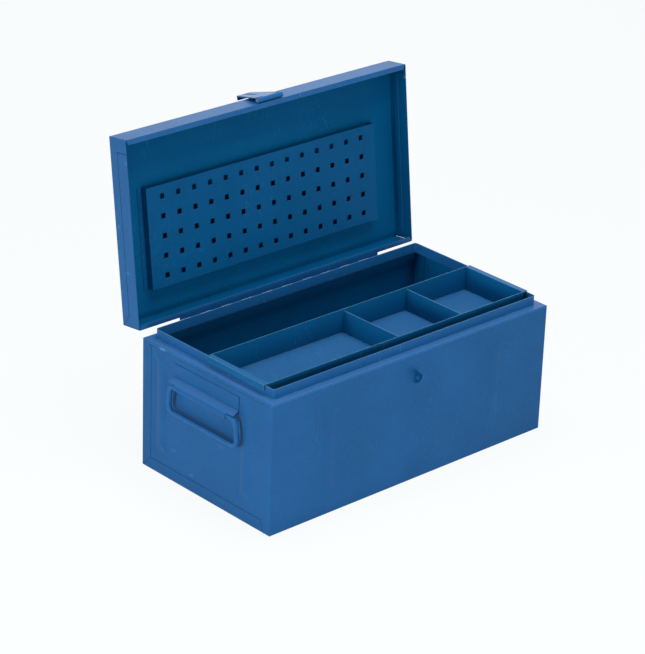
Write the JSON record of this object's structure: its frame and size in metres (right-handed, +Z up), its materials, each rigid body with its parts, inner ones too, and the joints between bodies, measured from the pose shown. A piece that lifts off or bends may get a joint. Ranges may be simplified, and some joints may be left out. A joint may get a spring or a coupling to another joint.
{
  "type": "steel tool chest",
  "caption": "Sheet-steel tool chest with a hinged lid, a sliding compartment tray, a perforated tool panel in the lid, a padlock hasp and drop bails on its ends.",
  "frame": {"origin": "middle of the chest's underside", "axes": "+X along the front to the right, +Y from the front to the back, +Z up"},
  "size_m": [0.7266, 0.5129, 0.6359],
  "materials": {
    "blue_paint": "satin blue stove enamel",
    "panel_paint": "satin blue stove enamel",
    "tray_paint": "satin blue stove enamel",
    "bright_steel": "zinc-plated"
  },
  "bodies": {
    "chest": {"front_and_ends": "blue_paint", "floor_and_back": "blue_paint", "top_frame": "blue_paint", "padlock_staple": "blue_paint", "handle_bracket_left": "blue_paint", "handle_bracket_right": "blue_paint", "hinge_body_leaf": "blue_paint", "hinge_pin": "bright_steel"},
    "lid": {"lid_shell": "blue_paint", "lid_end_left": "blue_paint", "lid_end_right": "blue_paint", "hinge_lid_leaf": "blue_paint", "perforated_panel": "panel_paint", "hasp_plate": "blue_paint", "hasp_pin": "bright_steel"},
    "hasp": {"hasp_leaf": "blue_paint"},
    "bail_left": {"bail_left": "blue_paint"},
    "bail_right": {"bail_right": "blue_paint"},
    "tray": {"tray_shell": "tray_paint", "tray_end_left": "tray_paint", "tray_end_right": "tray_paint", "divider_middle": "tray_paint", "divider_right": "tray_paint"}
  },
  "joints": [
    {"name": "lid_hinge", "type": "hinge", "parent": "chest", "child": "lid", "pos_m": [0, 0.1878, 0.26075], "axis": [1, 0, 0], "range_deg": [0, 96.7]},
    {"name": "hasp_hinge", "type": "hinge", "parent": "lid", "child": "hasp", "pos_m": [0, 0.23757, 0.63082], "axis": [1, 0, 0], "range_deg": [0, 188.2]},
    {"name": "bail_left_swing", "type": "hinge", "parent": "chest", "child": "bail_left", "pos_m": [-0.357, -0.006, 0.203], "axis": [0, 1, 0], "range_deg": [0, 100]},
    {"name": "bail_right_swing", "type": "hinge", "parent": "chest", "child": "bail_right", "pos_m": [0.357, -0.006, 0.203], "axis": [0, -1, 0], "range_deg": [0, 100]},
    {"name": "tray_slide", "type": "slide", "parent": "chest", "child": "tray", "axis": [0, 1, 0], "range_m": [-0.0223, 0.1463]}
  ]
}
